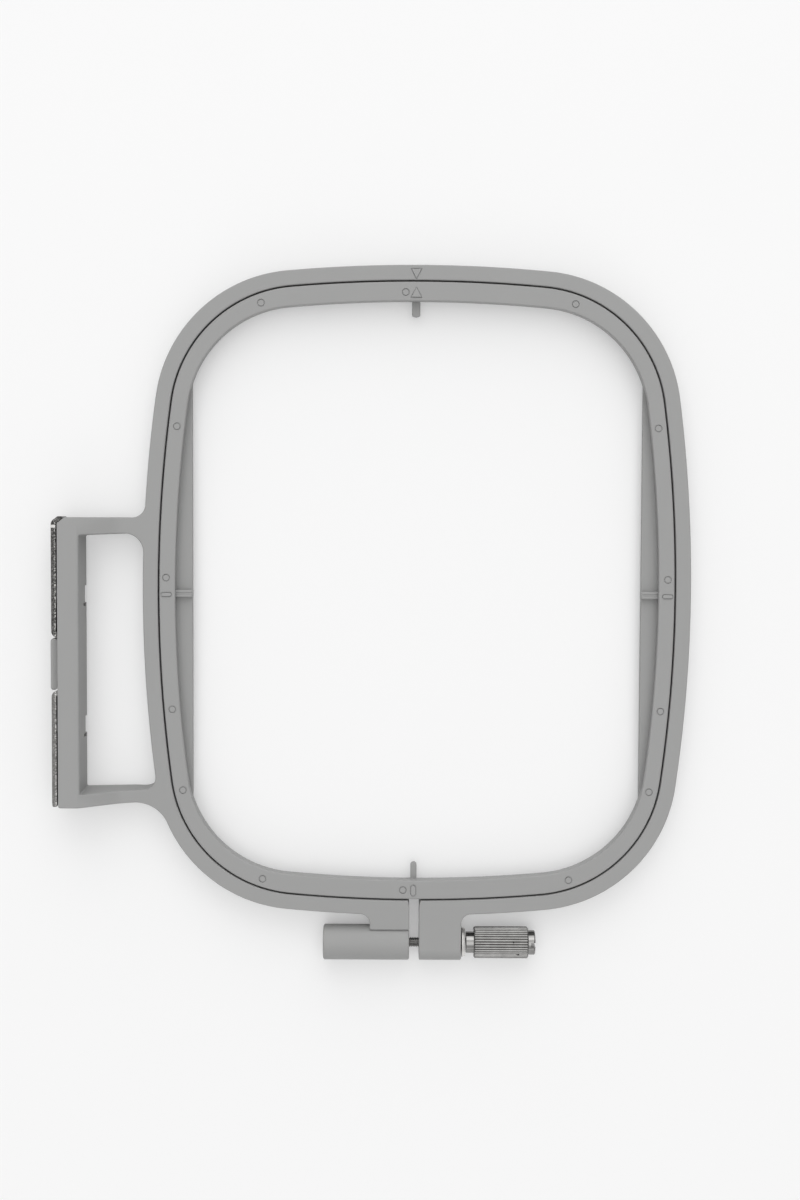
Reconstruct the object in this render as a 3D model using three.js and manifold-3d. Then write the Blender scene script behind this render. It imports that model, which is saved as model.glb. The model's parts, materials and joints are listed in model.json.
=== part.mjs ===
// Machine embroidery hoop: an outer frame with its arm coupling and clamp, and an inner ring that drops into it.
// Millimetres. X runs across the hoop, Y along it, Z up from the bed that it lies on.

import * as THREE from 'three';
import { mergeVertices } from 'three/addons/utils/BufferGeometryUtils.js';
import Module from 'manifold-3d';

// Sewing opening
const openingWidth = 109.75;
const openingLength = 140.8;
const openingCorner = 27;

// Inner ring
const ringHeight = 7.4;
const ledgeReach = 3.875;
const innerSideWidth = 3.9;
const innerEndWidth = 4.7;
const ringCorner = 31.9;
const sideBow = 343;
const endBow = 343;
const innerTop = 1.8;
const innerWall = 1.6;
const innerSkirt = 1.2;
const skirtDepth = 4.8;
const innerEdgeRound = 0.35;
const ledgeThickness = 1.2;
const ledgeFall = 0.35;
const ledgeEdgeRound = 0.3;

// Locating ribs on the ledges and tabs at the ends, for the grid sheet
const ribPlace = -0.42;
const ribWidth = 1.8;
const ribHeight = 1.2;
const ribOverhang = 0.15;
const ribRound = 0.35;
const ribGroove = 0.5;
const ribGrooveDepth = 0.25;
const tabPlace = -0.48;
const topTabWidth = 2;
const topTabLength = 3.5;
const topTabPoint = 0.35;
const bottomTabWidth = 1.52;
const bottomTabLength = 3.8;

// Outer frame
const ringGap = 0.36;
const frameWall = 3.64;
const frameCorner = 35.2;
const frameEdgeRound = 0.55;
const splitPlace = -0.28;
const splitGap = 2.4;
const splitFlareWidth = 0.6;
const splitFlareLength = 2.4;

// Clamp lugs below the ring, with the screw's axis along X
const screwDrop = 7.3;
const screwHeight = 4.4;
const bossDiameter = 8.65;
const bossLength = 21.15;
const bossEndRound = 0.5;
const bossEndWall = 1.4;
const webLength = 9.72;
const lugLength = 10.38;
const lugReach = 4.35;
const lugEndRound = 3;
const lugCorner = 0.8;
const lugFillet = 2.4;

// Clamp screw, washer and threaded insert
const threadDiameter = 2.5;
const boreClearance = 0.3;
const seatGap = 0.2;
const screwEndGap = 1;
const washerThickness = 0.8;
const washerDiameter = 7.3;
const washerRimDiameter = 6.3;
const neckDiameter = 5.25;
const neckLength = 1.9;
const knurlDiameter = 7.75;
const knurlLength = 13.45;
const knurlChamfer = 0.5;
const knurlTeeth = 36;
const knurlDepth = 0.28;
const capDiameter = 6;
const capLength = 1.71;
const capRound = 0.35;
const slotWidth = 1.1;
const slotDepth = 1.1;
const insertDiameter = 4.2;
const insertLength = 8;
const insertGroove = 0.35;
const insertGrooveLength = 1.6;

// Coupling bracket on the left: two arms that rise to a bar
const bracketReach = 19.75;
const bracketCentre = -17.08;
const bracketLength = 70.3;
const barWidth = 5.14;
const barTop = 12.4;
const barHeight = 9.5;
const barDraft = 0.27;
const barCornerRound = 0.5;
const barInnerRound = 0.8;
const leadChamferX = 1.9;
const leadChamferY = 1.5;
const upperArmAtBar = 4.25;
const upperArmAtRing = 3.8;
const upperArmDraft = 0.2;
const lowerArmAtBar = 3.1;
const lowerArmAtRing = 3.04;
const lowerArmDraft = 1.53;
const lowerArmDraftAtRing = 0.3;
const lowerArmRise = 0.67;
const armSlopeRun = 9.2;
const armFootRun = 3;
const upperOuterFillet = 3.2;
const upperInnerFillet = 4.6;
const lowerInnerFillet = 3;
const lowerOuterFillet = 8.5;

// Pin notches, spring relief and centre block on the bar
const pinSpacing = 32;
const pinNotchWidth = 5;
const pinNotchHeight = 1.9;
const reliefDepth = 1.1;
const blockCentre = -17.47;
const blockLength = 12.55;
const blockProud = 2;
const blockTopDrop = 1.5;
const blockBottomRise = 0.5;
const blockRound = 0.6;

// Leaf springs on the bar's outer face
const springThickness = 1.1;
const springWidth = 6;
const springStandOff = 0.8;
const springRise = 1.3;
const springClearance = 0.35;
const springBend = 0.9;
const springRootGap = 1.1;
const springTail = 5.2;
const tailAngle = 65;
const tailSlotStart = 0.25;
const upperLeadLength = 2.5;
const upperLeadDrop = 0.5;
const lowerLeadLength = 1.1;
const lowerLeadAngle = 35;

// Facets
const chordError = 0.04;
const roundSides = 28;
const bevelSteps = 2;
const overshoot = 1;

const plasticColour = 0x9b9b9a;
const nickelColour = 0xb9b7b2;
const springColour = 0x8d8c8a;
const brassColour = 0xb5975a;

const wasm = await Module();
wasm.setup();

// Solids

function toSolid(geometry) {
  const bare = geometry.clone();
  bare.deleteAttribute('normal');
  bare.deleteAttribute('uv');
  const merged = mergeVertices(bare, 1e-5);
  return new wasm.Manifold(new wasm.Mesh({
    numProp: 3,
    vertProperties: new Float32Array(merged.attributes.position.array),
    triVerts: new Uint32Array(merged.index.array),
  }));
}

function toGeometry(solid) {
  const mesh = solid.getMesh();
  const geometry = new THREE.BufferGeometry();
  geometry.setAttribute('position', new THREE.BufferAttribute(mesh.vertProperties, 3));
  geometry.setIndex(new THREE.BufferAttribute(mesh.triVerts, 1));
  geometry.computeVertexNormals();
  return geometry;
}

function joined(...solids) {
  return solids.reduce((whole, solid) => whole.add(solid));
}

function cut(solid, ...cutters) {
  return cutters.reduce((rest, cutter) => rest.subtract(cutter), solid);
}

// Outlines

const quarter = Math.PI / 2;

function arc(x, y, radius, from, to) {
  return { x, y, radius, from, to };
}

function arcPoints({ x, y, radius, from, to }) {
  const step = 2 * Math.acos(1 - chordError / Math.max(radius, 2 * chordError));
  const steps = Math.max(2, Math.ceil(Math.abs(to - from) / Math.min(step, Math.PI / 8)));
  return Array.from({ length: steps + 1 }, (_, i) => {
    const angle = from + (to - from) * i / steps;
    return new THREE.Vector2(x + radius * Math.cos(angle), y + radius * Math.sin(angle));
  });
}

// A closed outline from points and arcs, with repeated points left out.
function trace(items) {
  const points = items.flatMap((item) => (item.radius ? arcPoints(item) : [new THREE.Vector2(...item)]));
  const apart = (a, b) => a.distanceTo(b) > 1e-4;
  return points.filter((point, i) => apart(point, points[(i + 1) % points.length]));
}

function reversed(arcs) {
  return arcs.map((a) => arc(a.x, a.y, a.radius, a.to, a.from)).reverse();
}

function outline(halfWidth, halfLength, sideRadius, endRadius, corner) {
  return { halfWidth, halfLength, sideRadius, endRadius, corner };
}

function grown(o, by) {
  return outline(o.halfWidth + by, o.halfLength + by, o.sideRadius + by, o.endRadius + by, o.corner + by);
}

// A bowed rectangle as tangent arcs, counter-clockwise from the middle of its lower end.
function hoopArcs({ halfWidth, halfLength, sideRadius, endRadius, corner }) {
  const side = new THREE.Vector2(halfWidth - sideRadius, 0);
  const end = new THREE.Vector2(0, halfLength - endRadius);
  const along = end.clone().sub(side);
  const distance = along.length();
  along.normalize();
  const toSide = sideRadius - corner;
  const toEnd = endRadius - corner;
  const run = (toSide ** 2 - toEnd ** 2 + distance ** 2) / (2 * distance);
  const rise = Math.sqrt(toSide ** 2 - run ** 2);
  const x = side.x + along.x * run - along.y * rise;
  const y = side.y + along.y * run + along.x * rise;
  const sideTurn = Math.atan2(y, x - side.x);
  const endTurn = Math.atan2(x, y - end.y);
  return [
    arc(0, -end.y, endRadius, 3 * quarter, 3 * quarter + endTurn),
    arc(x, -y, corner, 3 * quarter + endTurn, 4 * quarter - sideTurn),
    arc(side.x, 0, sideRadius, -sideTurn, sideTurn),
    arc(x, y, corner, sideTurn, quarter - endTurn),
    arc(0, end.y, endRadius, quarter - endTurn, quarter + endTurn),
    arc(-x, y, corner, quarter + endTurn, 2 * quarter - sideTurn),
    arc(-side.x, 0, sideRadius, 2 * quarter - sideTurn, 2 * quarter + sideTurn),
    arc(-x, -y, corner, 2 * quarter + sideTurn, 3 * quarter - endTurn),
    arc(0, -end.y, endRadius, 3 * quarter - endTurn, 3 * quarter),
  ];
}

function hoopPoints(o) {
  return trace(hoopArcs(o));
}

// Extrusions

function extrude(points, bottom, top, round = 0, hole = null) {
  const shape = new THREE.Shape(points);
  if (hole) shape.holes.push(new THREE.Path(hole));
  const geometry = new THREE.ExtrudeGeometry(shape, {
    depth: top - bottom - 2 * round,
    bevelEnabled: round > 0,
    bevelSize: round,
    bevelOffset: -round,
    bevelThickness: round,
    bevelSegments: bevelSteps,
  });
  return toSolid(geometry.translate(0, 0, bottom + round));
}

const profileAlongX = new THREE.Matrix4().makeBasis(
  new THREE.Vector3(0, 1, 0),
  new THREE.Vector3(0, 0, 1),
  new THREE.Vector3(1, 0, 0),
);
const profileAlongY = new THREE.Matrix4().makeBasis(
  new THREE.Vector3(1, 0, 0),
  new THREE.Vector3(0, 0, 1),
  new THREE.Vector3(0, -1, 0),
);

// A profile in Y and Z, run along X from one place to another.
function alongX(points, from, to) {
  const geometry = new THREE.ExtrudeGeometry(new THREE.Shape(points), { depth: to - from, bevelEnabled: false });
  return toSolid(geometry.applyMatrix4(profileAlongX).translate(from, 0, 0));
}

// A profile in X and Z, run along Y from one place to another.
function alongY(points, from, to) {
  const geometry = new THREE.ExtrudeGeometry(new THREE.Shape(points), { depth: to - from, bevelEnabled: false });
  return toSolid(geometry.applyMatrix4(profileAlongY).translate(0, to, 0));
}

// A closed solid between two outlines with the same number of points.
function loft(lower, bottom, upper, top) {
  const count = lower.length;
  const positions = [...lower.map((p) => [p.x, p.y, bottom]), ...upper.map((p) => [p.x, p.y, top])].flat();
  const caps = (points, shift, flip) => THREE.ShapeUtils.triangulateShape(points, [])
    .flatMap(([a, b, c]) => (flip ? [a, c, b] : [a, b, c]).map((v) => v + shift));
  const walls = lower.flatMap((_, i) => {
    const next = (i + 1) % count;
    return [i, next, count + next, i, count + next, count + i];
  });
  const geometry = new THREE.BufferGeometry();
  geometry.setAttribute('position', new THREE.Float32BufferAttribute(positions, 3));
  geometry.setIndex([...caps(lower, 0, true), ...caps(upper, count, false), ...walls]);
  return toSolid(geometry);
}

// A turned profile of distance along X and radius, on the screw's axis.
function turned(profile) {
  const points = profile.map(([x, radius]) => new THREE.Vector2(radius, x));
  const geometry = new THREE.LatheGeometry(points, roundSides);
  return toSolid(geometry.rotateZ(-quarter)).translate([0, screwY, screwHeight]);
}

function rod(from, to, diameter) {
  const radius = diameter / 2;
  return turned([[from, 0], [from, radius], [to, radius], [to, 0]]);
}

function box(low, high) {
  const size = new THREE.Vector3(...high).sub(new THREE.Vector3(...low));
  const geometry = new THREE.BoxGeometry(...size).translate(
    (low[0] + high[0]) / 2,
    (low[1] + high[1]) / 2,
    (low[2] + high[2]) / 2,
  );
  return toSolid(geometry);
}

// Shared places

const openingEdge = outline(
  openingWidth / 2 + ledgeReach,
  openingLength / 2,
  sideBow - innerSideWidth,
  endBow - innerEndWidth,
  openingCorner,
);
const innerRim = outline(
  openingEdge.halfWidth + innerSideWidth,
  openingEdge.halfLength + innerEndWidth,
  sideBow,
  endBow,
  ringCorner,
);
const frameBore = grown(innerRim, ringGap);
const frameRim = { ...grown(frameBore, frameWall), corner: frameCorner };

const leftLip = splitPlace - splitGap / 2;
const rightLip = splitPlace + splitGap / 2;
const screwY = -frameRim.halfLength - screwDrop;
const lugEnd = screwY - lugReach;
const lugFace = rightLip + lugLength;
const webFace = leftLip - webLength;
const bossFace = leftLip - bossLength;
const boreDiameter = threadDiameter + 2 * boreClearance;
const shankEnd = bossFace + bossEndWall + screwEndGap;

const barOuter = -frameRim.halfWidth - bracketReach;
const barInner = barOuter + barWidth;
const barBottom = barTop - barHeight;
const bracketTop = bracketCentre + bracketLength / 2;
const bracketBottom = bracketCentre - bracketLength / 2;
const springBottom = barBottom + springRise;
const springTop = springBottom + springWidth;
const reliefFace = barOuter + reliefDepth;
const springMiddle = barOuter - springStandOff - springThickness / 2;

// Outer frame

// A fillet that touches an arc from outside and a straight edge: u runs along the edge, v across it.
function filletCentre(arcU, arcV, radius, edge, side, fillet, sign) {
  const v = edge + side * fillet;
  return [arcU + sign * Math.sqrt((radius + fillet) ** 2 - (v - arcV) ** 2), v];
}

function clampRing() {
  const outer = hoopArcs(frameRim);
  const inner = hoopArcs(frameBore);
  const end = outer[0];
  const [rightY, rightX] = filletCentre(end.y, end.x, end.radius, lugFace, 1, lugFillet, -1);
  const [leftY, leftX] = filletCentre(end.y, end.x, end.radius, webFace, -1, lugFillet, -1);
  outer[0].from = 2 * Math.PI + Math.atan2(rightY - end.y, rightX - end.x);
  outer[8].to = 2 * Math.PI + Math.atan2(leftY - end.y, leftX - end.x);
  const lipTurn = (lip, way) => Math.asin((lip + way * splitFlareWidth) / frameBore.endRadius);
  inner[0].from = 3 * quarter + lipTurn(rightLip, 1);
  inner[8].to = 3 * quarter + lipTurn(leftLip, -1);
  const flareY = end.y - frameBore.endRadius - splitFlareLength;
  const toEnd = (x, y) => Math.atan2(end.y - y, end.x - x);
  return trace([
    [rightLip, flareY],
    arc(rightLip + lugCorner, lugEnd + lugCorner, lugCorner, 2 * quarter, 3 * quarter),
    arc(lugFace - lugCorner, lugEnd + lugCorner, lugCorner, 3 * quarter, 4 * quarter),
    arc(rightX, rightY, lugFillet, 2 * quarter, toEnd(rightX, rightY)),
    ...outer,
    arc(leftX, leftY, lugFillet, toEnd(leftX, leftY), 0),
    [webFace, screwY],
    [leftLip, screwY],
    [leftLip, flareY],
    ...reversed(inner),
  ]);
}

// Rounds the end of the right lug over, at its upper and lower edges.
function lugEndCutters() {
  const cornerY = lugEnd + lugEndRound;
  const over = trace([
    arc(cornerY, ringHeight - lugEndRound, lugEndRound, quarter, 2 * quarter),
    [lugEnd - overshoot, ringHeight - lugEndRound],
    [lugEnd - overshoot, ringHeight + overshoot],
    [cornerY, ringHeight + overshoot],
  ]);
  const under = trace([
    arc(cornerY, lugEndRound, lugEndRound, 2 * quarter, 3 * quarter),
    [cornerY, -overshoot],
    [lugEnd - overshoot, -overshoot],
    [lugEnd - overshoot, lugEndRound],
  ]);
  return [over, under].map((points) => alongX(points, splitPlace, lugFace + overshoot));
}

function screwBoss() {
  const radius = bossDiameter / 2;
  const shoulder = radius - bossEndRound;
  const rounding = (x, from, to) => arcPoints(arc(x, shoulder, bossEndRound, from, to)).map((p) => [p.x, p.y]);
  return turned([
    [bossFace, 0],
    ...rounding(bossFace + bossEndRound, 2 * quarter, quarter),
    ...rounding(leftLip - bossEndRound, quarter, 0),
    [leftLip, 0],
  ]);
}

// The bracket's plan, with its finger gap's walls moved in by a share of their drafts.
function bracketPlan(share) {
  const arcs = hoopArcs(frameRim);
  const side = arcs[6];
  const low = arcs[7];
  const upperEdge = bracketTop - upperArmAtRing - share * upperArmDraft;
  const upperEdgeAtBar = bracketTop - upperArmAtBar - share * upperArmDraft;
  const outerEdge = bracketBottom + lowerArmRise;
  const lowerEdge = outerEdge + lowerArmAtRing + share * lowerArmDraftAtRing;
  const lowerEdgeAtBar = bracketBottom + lowerArmAtBar + share * lowerArmDraft;
  const gapFace = barInner + share * barDraft;
  const at = (ringArc, edge, sideways, fillet) => {
    const [x, y] = filletCentre(ringArc.x, ringArc.y, ringArc.radius, edge, sideways, fillet, -1);
    return { x, y, fillet, inward: Math.atan2(ringArc.y - y, ringArc.x - x) };
  };
  const f1 = at(side, bracketTop, 1, upperOuterFillet);
  const f2 = at(low, outerEdge, -1, lowerOuterFillet);
  const f3 = at(side, lowerEdge, 1, lowerInnerFillet);
  const f4 = at(side, upperEdge, -1, upperInnerFillet);
  const inside = (f) => [
    f.x + (f.fillet + frameWall) * Math.cos(f.inward),
    f.y + (f.fillet + frameWall) * Math.sin(f.inward),
  ];
  const innerCorner = (y, from) => arc(
    gapFace + barInnerRound,
    y,
    barInnerRound,
    from,
    from - quarter,
  );
  return trace([
    inside(f1),
    arc(f1.x, f1.y, f1.fillet, f1.inward, -quarter),
    [barOuter + leadChamferX, bracketTop],
    [barOuter, bracketTop - leadChamferY],
    arc(barOuter + barCornerRound, bracketBottom + barCornerRound, barCornerRound, 2 * quarter, 3 * quarter),
    [barInner, bracketBottom],
    arc(f2.x, f2.y, f2.fillet, quarter, f2.inward),
    inside(f2),
    inside(f3),
    arc(f3.x, f3.y, f3.fillet, f3.inward, -quarter),
    innerCorner(lowerEdgeAtBar + barInnerRound, 3 * quarter),
    innerCorner(upperEdgeAtBar - barInnerRound, 2 * quarter),
    arc(f4.x, f4.y, f4.fillet, quarter, f4.inward),
    inside(f4),
  ]);
}

// The bracket's side profile: a high bar, with arms that slope down to the ring.
function bracketProfile() {
  const slopeStart = barInner + barDraft;
  const slopeEnd = slopeStart + armSlopeRun;
  const foot = -frameRim.halfWidth - armFootRun;
  return trace([
    [barOuter - blockProud, barBottom],
    [slopeStart, barBottom],
    [foot, 0],
    [0, 0],
    [0, ringHeight],
    [slopeEnd, ringHeight],
    [slopeStart, barTop],
    [barOuter - blockProud, barTop],
  ]);
}

function bracket() {
  const plan = loft(bracketPlan(1), -overshoot, bracketPlan(0), barTop + overshoot);
  const side = alongY(
    bracketProfile(),
    bracketBottom - lowerOuterFillet - overshoot,
    bracketTop + upperOuterFillet + overshoot,
  );
  const keepClear = extrude(hoopPoints(grown(frameBore, frameWall / 2)), -overshoot, barTop + overshoot);
  return plan.intersect(side).subtract(keepClear);
}

function centreBlock() {
  const half = blockLength / 2;
  const face = barOuter - blockProud;
  const top = blockCentre + half;
  const bottom = blockCentre - half;
  const points = trace([
    [reliefFace + overshoot, bottom],
    [reliefFace + overshoot, top],
    arc(face + blockRound, top - blockRound, blockRound, quarter, 2 * quarter),
    arc(face + blockRound, bottom + blockRound, blockRound, 2 * quarter, 3 * quarter),
  ]);
  return extrude(points, barBottom + blockBottomRise, barTop - blockTopDrop);
}

// Room behind the springs, with a lip of the bar left above and below.
function springReliefs() {
  const bottom = springBottom - springClearance;
  const top = springTop + springClearance;
  const far = barOuter - blockProud - overshoot;
  const half = blockLength / 2;
  const upper = [
    [far, blockCentre + half],
    [reliefFace, blockCentre + half],
    [reliefFace, bracketTop - leadChamferY - reliefDepth / 2],
    [barOuter + leadChamferX + 2 * reliefDepth, bracketTop + overshoot],
    [far, bracketTop + overshoot],
  ];
  const lower = [
    [far, bracketBottom - overshoot],
    [reliefFace, bracketBottom - overshoot],
    [reliefFace, blockCentre - half],
    [far, blockCentre - half],
  ];
  return [upper, lower].map((points) => extrude(trace(points), bottom, top));
}

function pinNotches() {
  return [-1, 1].map((side) => {
    const y = bracketCentre + side * pinSpacing / 2;
    return box(
      [barOuter - overshoot, y - pinNotchWidth / 2, barBottom - overshoot],
      [barInner + barDraft + overshoot, y + pinNotchWidth / 2, barBottom + pinNotchHeight],
    );
  });
}

function outerFrame() {
  const ring = extrude(clampRing(), 0, ringHeight, frameEdgeRound);
  const lugged = cut(ring, ...lugEndCutters());
  const insertSeat = insertLength + 2 * seatGap;
  const bores = [
    rod(bossFace + bossEndWall, lugFace + overshoot, boreDiameter),
    rod(leftLip - insertSeat, splitPlace, insertDiameter + 2 * boreClearance),
  ];
  const slots = [1, -1].map((way) => springSolid(way, springClearance, true));
  const coupled = cut(bracket(), ...springReliefs(), ...pinNotches());
  return cut(joined(lugged, screwBoss(), coupled, centreBlock()), ...bores, ...slots);
}

// Leaf springs

// A strip's plan: both sides of a centre line, with its bends rounded.
function stripPlan(line, thickness) {
  const points = line.flatMap((point, i) => {
    const before = line[i - 1];
    const after = line[i + 1];
    if (!before || !after) return [point];
    const back = before.clone().sub(point).normalize();
    const on = after.clone().sub(point).normalize();
    const halfAngle = Math.acos(back.dot(on)) / 2;
    const setBack = springBend / Math.tan(halfAngle);
    const start = point.clone().addScaledVector(back, setBack);
    const finish = point.clone().addScaledVector(on, setBack);
    return new THREE.QuadraticBezierCurve(start, point, finish).getPoints(4);
  });
  const sideways = points.map((point, i) => {
    const before = points[Math.max(i - 1, 0)];
    const after = points[Math.min(i + 1, points.length - 1)];
    const run = after.clone().sub(before).normalize();
    return new THREE.Vector2(-run.y, run.x).multiplyScalar(thickness / 2);
  });
  const left = points.map((point, i) => point.clone().add(sideways[i]));
  const right = points.map((point, i) => point.clone().sub(sideways[i]));
  return [...left, ...right.reverse()];
}

// One spring, or the slot in the bar for its tail. The tail is bent into the bar beside the centre block.
function springSolid(way, clearance, tailOnly) {
  const rootY = blockCentre + way * (blockLength / 2 + springRootGap);
  const root = new THREE.Vector2(springMiddle, rootY);
  const turn = THREE.MathUtils.degToRad(tailAngle);
  const inwards = new THREE.Vector2(Math.sin(turn), -way * Math.cos(turn));
  const tail = root.clone().addScaledVector(inwards, springTail + clearance);
  const lead = way > 0 ? upperLead() : lowerLead();
  const line = tailOnly ? [tail, root.clone().lerp(tail, tailSlotStart)] : [tail, root, ...lead];
  const plan = stripPlan(line, springThickness + 2 * clearance);
  return extrude(plan, springBottom - clearance, springTop + clearance);
}

// The upper end follows the bar's lead-in chamfer.
function upperLead() {
  const chamfer = new THREE.Vector2(leadChamferX, leadChamferY).normalize();
  const off = springStandOff + springThickness / 2;
  const bendY = bracketTop - leadChamferY + off * (1 - chamfer.y) / chamfer.x - upperLeadDrop;
  const bend = new THREE.Vector2(springMiddle, bendY);
  return [bend, bend.clone().addScaledVector(chamfer, upperLeadLength)];
}

// The lower end is curled in a little.
function lowerLead() {
  const angle = THREE.MathUtils.degToRad(lowerLeadAngle);
  const curl = new THREE.Vector2(Math.sin(angle), -Math.cos(angle));
  const bend = new THREE.Vector2(springMiddle, bracketBottom + lowerLeadLength);
  return [bend, bend.clone().addScaledVector(curl, lowerLeadLength)];
}

// Inner ring

function sideLedges() {
  const top = ringHeight - skirtDepth + ledgeThickness;
  const bottom = ringHeight - skirtDepth;
  const edge = openingWidth / 2;
  const back = openingEdge.halfWidth + innerSkirt;
  const profile = trace([
    [edge, bottom],
    [back, bottom],
    [back, top + ledgeFall],
    arc(edge + ledgeEdgeRound, top - ledgeEdgeRound, ledgeEdgeRound, quarter, 2 * quarter),
  ]);
  const keep = extrude(hoopPoints(grown(openingEdge, innerSkirt / 2)), 0, ringHeight);
  const ledge = alongY(profile, -openingEdge.halfLength, openingEdge.halfLength).intersect(keep);
  return [ledge, ledge.mirror([1, 0, 0])];
}

function ledgeRibs() {
  const half = ribWidth / 2;
  const bottom = ringHeight - skirtDepth;
  const top = bottom + ledgeThickness + ribHeight;
  const profile = trace([
    [-half, bottom],
    [half, bottom],
    arc(half - ribRound, top - ribRound, ribRound, 0, quarter),
    [ribGroove / 2, top],
    [0, top - ribGrooveDepth],
    [-ribGroove / 2, top],
    arc(-half + ribRound, top - ribRound, ribRound, quarter, 2 * quarter),
  ]);
  const rib = alongX(profile, openingWidth / 2 - ribOverhang, openingEdge.halfWidth + innerSkirt / 2);
  return [rib, rib.mirror([1, 0, 0])].map((solid) => solid.translate([0, ribPlace, 0]));
}

function endTabs() {
  const bottom = ringHeight - skirtDepth;
  const top = bottom + ledgeThickness;
  const root = openingEdge.halfLength + innerSkirt / 2;
  const upperTip = openingEdge.halfLength - topTabLength;
  const upperHalf = topTabWidth / 2;
  const upper = trace([
    [-upperHalf, root],
    [-upperHalf, upperTip + topTabPoint],
    [0, upperTip],
    [upperHalf, upperTip + topTabPoint],
    [upperHalf, root],
  ]);
  const lowerHalf = bottomTabWidth / 2;
  const lowerTip = -openingEdge.halfLength + bottomTabLength;
  const lower = trace([
    [-lowerHalf, -root],
    [lowerHalf, -root],
    arc(0, lowerTip - lowerHalf, lowerHalf, 0, 2 * quarter),
  ]);
  return [upper, lower].map((points) => extrude(points, bottom, top).translate([tabPlace, 0, 0]));
}

function innerRing() {
  const opening = hoopPoints(openingEdge);
  const cavityOutside = hoopPoints(grown(innerRim, -innerWall));
  const cavityInside = hoopPoints(grown(openingEdge, innerSkirt));
  const ring = extrude(hoopPoints(innerRim), 0, ringHeight, innerEdgeRound, opening);
  const channel = extrude(cavityOutside, -overshoot, ringHeight - innerTop, 0, cavityInside);
  const underSkirt = extrude(cavityOutside, -overshoot, ringHeight - skirtDepth);
  return joined(cut(ring, channel, underSkirt), ...sideLedges(), ...ledgeRibs(), ...endTabs());
}

// Clamp screw and what it runs in

const washerFace = lugFace + seatGap;
const neckFace = washerFace + washerThickness + seatGap;
const knurlFace = neckFace + neckLength;
const capFace = knurlFace + knurlLength;

function knurledGrip() {
  const outerRadius = knurlDiameter / 2;
  const teeth = Array.from({ length: knurlTeeth * 2 }, (_, i) => {
    const radius = i % 2 ? outerRadius - knurlDepth : outerRadius;
    const angle = Math.PI * i / knurlTeeth;
    return new THREE.Vector2(screwY + radius * Math.cos(angle), screwHeight + radius * Math.sin(angle));
  });
  const blank = turned([
    [knurlFace, 0],
    [knurlFace, outerRadius - knurlChamfer],
    [knurlFace + knurlChamfer, outerRadius + knurlDepth],
    [capFace - knurlChamfer, outerRadius + knurlDepth],
    [capFace, outerRadius - knurlChamfer],
    [capFace, 0],
  ]);
  return alongX(teeth, knurlFace, capFace).intersect(blank);
}

function slottedCap() {
  const radius = capDiameter / 2;
  const end = capFace + capLength;
  const cap = turned([
    [capFace - overshoot, 0],
    [capFace - overshoot, radius],
    ...arcPoints(arc(end - capRound, radius - capRound, capRound, quarter, 0)).map((p) => [p.x, p.y]),
    [end, 0],
  ]);
  const slot = box(
    [end - slotDepth, screwY - slotWidth / 2, screwHeight - capDiameter],
    [end + overshoot, screwY + slotWidth / 2, screwHeight + capDiameter],
  );
  return cap.subtract(slot);
}

function clampScrew() {
  const shank = rod(shankEnd, knurlFace, threadDiameter);
  const neck = rod(neckFace, knurlFace + overshoot, neckDiameter);
  return joined(shank, neck, knurledGrip(), slottedCap());
}

function coneWasher() {
  const bore = boreDiameter / 2;
  const back = washerFace + washerThickness;
  return turned([
    [washerFace, bore],
    [washerFace, washerDiameter / 2],
    [back, washerRimDiameter / 2],
    [back, bore],
    [washerFace, bore],
  ]);
}

function threadedInsert() {
  const bore = boreDiameter / 2;
  const rim = insertDiameter / 2;
  const front = leftLip - seatGap;
  const back = front - insertLength;
  const middle = (front + back) / 2;
  const grooveHalf = insertGrooveLength / 2;
  return turned([
    [back, bore],
    [back, rim],
    [middle - grooveHalf, rim],
    [middle - grooveHalf, rim - insertGroove],
    [middle + grooveHalf, rim - insertGroove],
    [middle + grooveHalf, rim],
    [front, rim],
    [front, bore],
    [back, bore],
  ]);
}

// Assembly

const hoop = new THREE.Group();

function place(name, solid, color, roughness, metalness) {
  const material = new THREE.MeshStandardMaterial({ color, roughness, metalness });
  const mesh = new THREE.Mesh(toGeometry(solid), material);
  mesh.name = name;
  hoop.add(mesh);
}

place('outer_frame', outerFrame(), plasticColour, 0.45, 0);
place('inner_ring', innerRing(), plasticColour, 0.45, 0);
place('upper_leaf_spring', springSolid(1, 0, false), springColour, 0.35, 1);
place('lower_leaf_spring', springSolid(-1, 0, false), springColour, 0.35, 1);
place('clamp_screw', clampScrew(), nickelColour, 0.25, 1);
place('cone_washer', coneWasher(), nickelColour, 0.25, 1);
place('threaded_insert', threadedInsert(), brassColour, 0.35, 1);

// The origin is the middle of the hoop's box, on the bed.
const bounds = new THREE.Box3().setFromObject(hoop);
const centre = bounds.getCenter(new THREE.Vector3());
hoop.position.set(-centre.x, -centre.y, -bounds.min.z);
hoop.updateMatrixWorld(true);

export default hoop;
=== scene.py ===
import json
import math

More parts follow.
